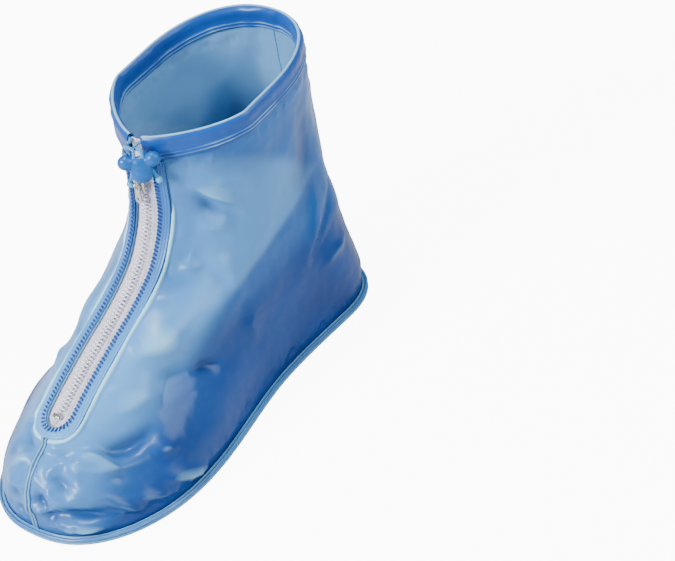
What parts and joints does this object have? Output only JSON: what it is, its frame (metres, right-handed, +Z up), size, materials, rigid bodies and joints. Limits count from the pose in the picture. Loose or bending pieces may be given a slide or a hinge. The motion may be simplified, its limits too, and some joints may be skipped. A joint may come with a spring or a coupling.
{
  "type": "shoe cover",
  "caption": "Flexible PVC cover worn over a shoe: ankle shaft with a drawcord hem and a round-lobed cord lock, front zip with tape, slider and pull, welded centre seams and a flat welded sole.",
  "frame": {"origin": "on the floor under the middle of the sole", "axes": "+X towards the toe, +Y towards the wearer's left, +Z up"},
  "size_m": [0.2998, 0.139, 0.2018],
  "materials": {
    "sole_pvc": "pale satin PVC sheet",
    "blue_pvc": "translucent blue PVC, satin with soft highlights",
    "deep_blue_pvc": "doubled blue PVC, deeper where two layers lie together",
    "drawcord": "thin light blue cord",
    "cord_end": "light blue beads",
    "lock_plastic": "moulded cyan blue plastic",
    "zip_tape": "white woven tape with a pink cast",
    "zip_coil": "white nylon coil",
    "zip_metal": "silver slider, pull and stop"
  },
  "bodies": {
    "cover": {"sole": "sole_pvc", "weld_flange": "blue_pvc", "side_panel_left": "blue_pvc", "side_panel_right": "blue_pvc", "heel_seam": "deep_blue_pvc", "toe_seam": "deep_blue_pvc", "collar_hem": "deep_blue_pvc", "drawcord": "drawcord", "cord_end_left": "cord_end", "cord_end_right": "cord_end", "cord_lock": "lock_plastic", "zip_tape_left": "zip_tape", "zip_tape_right": "zip_tape", "zip_coil": "zip_coil", "zip_facing": "deep_blue_pvc", "zip_slider": "zip_metal", "zip_bottom_stop": "zip_metal"},
    "pull": {"zip_pull": "zip_metal"}
  },
  "joints": [
    {"name": "zip_pull_swing", "type": "hinge", "parent": "cover", "child": "pull", "pos_m": [-0.00392, 0, 0.15982], "axis": [0, -1, 0], "range_deg": [0, 75]}
  ]
}
